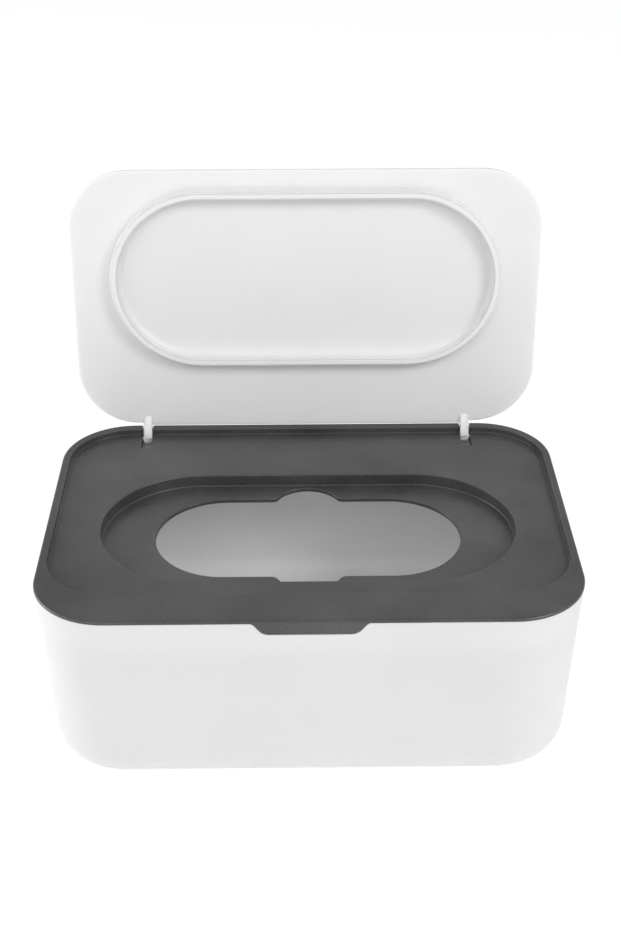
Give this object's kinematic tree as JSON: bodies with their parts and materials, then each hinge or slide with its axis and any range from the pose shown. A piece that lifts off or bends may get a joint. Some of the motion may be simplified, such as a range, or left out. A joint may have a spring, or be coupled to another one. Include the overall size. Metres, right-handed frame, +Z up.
{
  "type": "wipes dispenser",
  "caption": "Rounded box for wet wipes with a lift-off sunken top frame, oval pull-out opening and a flat hinged lid with a sealing rib.",
  "frame": {"origin": "middle of the box on the table: midway across and front to back of the box body, at the plane the feet rest on", "axes": "+X to the right seen from the front, +Y to the back where the hinges are, +Z up"},
  "size_m": [0.19, 0.1412, 0.1765],
  "materials": {
    "white_plastic": "satin",
    "lid_plastic": "satin",
    "grey_plastic": "fine matte grain",
    "seal_silicone": "soft satin",
    "pin_steel": "brushed",
    "foot_silicone": "matte"
  },
  "bodies": {
    "box": {"base_box": "white_plastic", "foot_front_left": "foot_silicone", "foot_front_right": "foot_silicone", "foot_back_left": "foot_silicone", "foot_back_right": "foot_silicone"},
    "frame": {"top_frame": "grey_plastic", "hinge_pin_left": "pin_steel", "hinge_pin_right": "pin_steel"},
    "lid": {"lid": "lid_plastic", "lid_seal": "seal_silicone"}
  },
  "joints": [
    {"name": "frame_lift", "type": "slide", "parent": "box", "child": "frame", "axis": [0, 0, 1], "range_m": [0, 0.06]},
    {"name": "lid_hinge", "type": "hinge", "parent": "frame", "child": "lid", "pos_m": [0, 0.06255, 0.06725], "axis": [1, 0, 0], "range_deg": [0, 94]}
  ]
}
